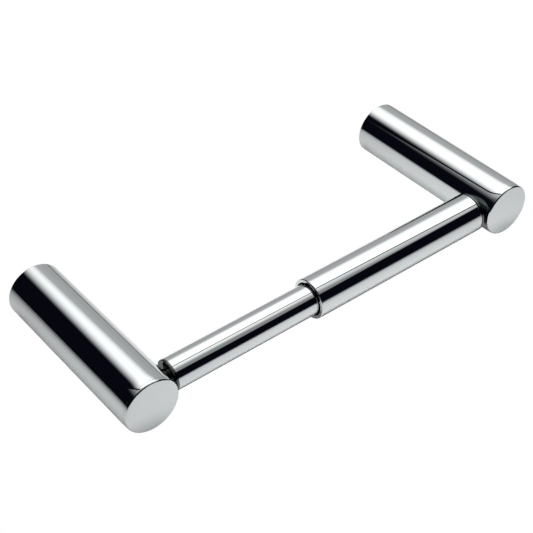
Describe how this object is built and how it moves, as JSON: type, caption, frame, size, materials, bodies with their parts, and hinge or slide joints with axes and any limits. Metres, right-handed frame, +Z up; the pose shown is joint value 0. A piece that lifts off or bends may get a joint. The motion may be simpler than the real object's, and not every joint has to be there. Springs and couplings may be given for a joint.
{
  "type": "toilet paper holder",
  "caption": "Wall-mounted toilet paper holder: round chromed posts stand out from the wall and carry a sprung telescopic roller on pins between their front ends.",
  "frame": {"origin": "on the wall plane, midway between the posts and level with their axes", "axes": "+X along the roller towards the thick tube's post, -Y out of the wall along the posts, +Z up"},
  "size_m": [0.22, 0.0865, 0.025],
  "materials": {
    "post_chrome": "mirror-polished chrome plate",
    "roller_chrome": "mirror-polished chrome plate",
    "plug_chrome": "turned, dark chrome plate",
    "sleeve_brass": "turned brass, unplated",
    "bracket_steel": "turned steel, zinc-plated",
    "set_screw_steel": "plain stainless steel",
    "bush_nylon": "natural moulded nylon",
    "guide_nylon": "black moulded nylon",
    "spring_steel": "cold-drawn spring wire"
  },
  "bodies": {
    "root": {"left_post_tube": "post_chrome", "left_post_cap": "post_chrome", "left_post_sleeve": "sleeve_brass", "left_wall_bracket": "bracket_steel", "left_set_screw": "set_screw_steel", "left_socket_bush": "bush_nylon", "right_post_tube": "post_chrome", "right_post_cap": "post_chrome", "right_post_sleeve": "sleeve_brass", "right_wall_bracket": "bracket_steel", "right_set_screw": "set_screw_steel", "right_socket_bush": "bush_nylon"},
    "roller_outer": {"roller_outer_tube": "roller_chrome", "roller_outer_plug": "plug_chrome", "roller_spring": "spring_steel"},
    "roller_inner": {"roller_inner_tube": "roller_chrome", "roller_inner_plug": "plug_chrome", "roller_guide": "guide_nylon"}
  },
  "joints": [
    {"name": "roller_spin", "type": "hinge", "parent": "root", "child": "roller_outer", "pos_m": [0, -0.0765, 0], "axis": [1, 0, 0], "continuous": true},
    {"name": "inner_slide", "type": "slide", "parent": "roller_outer", "child": "roller_inner", "axis": [1, 0, 0], "range_m": [0, 0.05], "stiffness_N_per_m": 400, "springref_m": -0.016, "deforming": ["roller_spring"]}
  ]
}
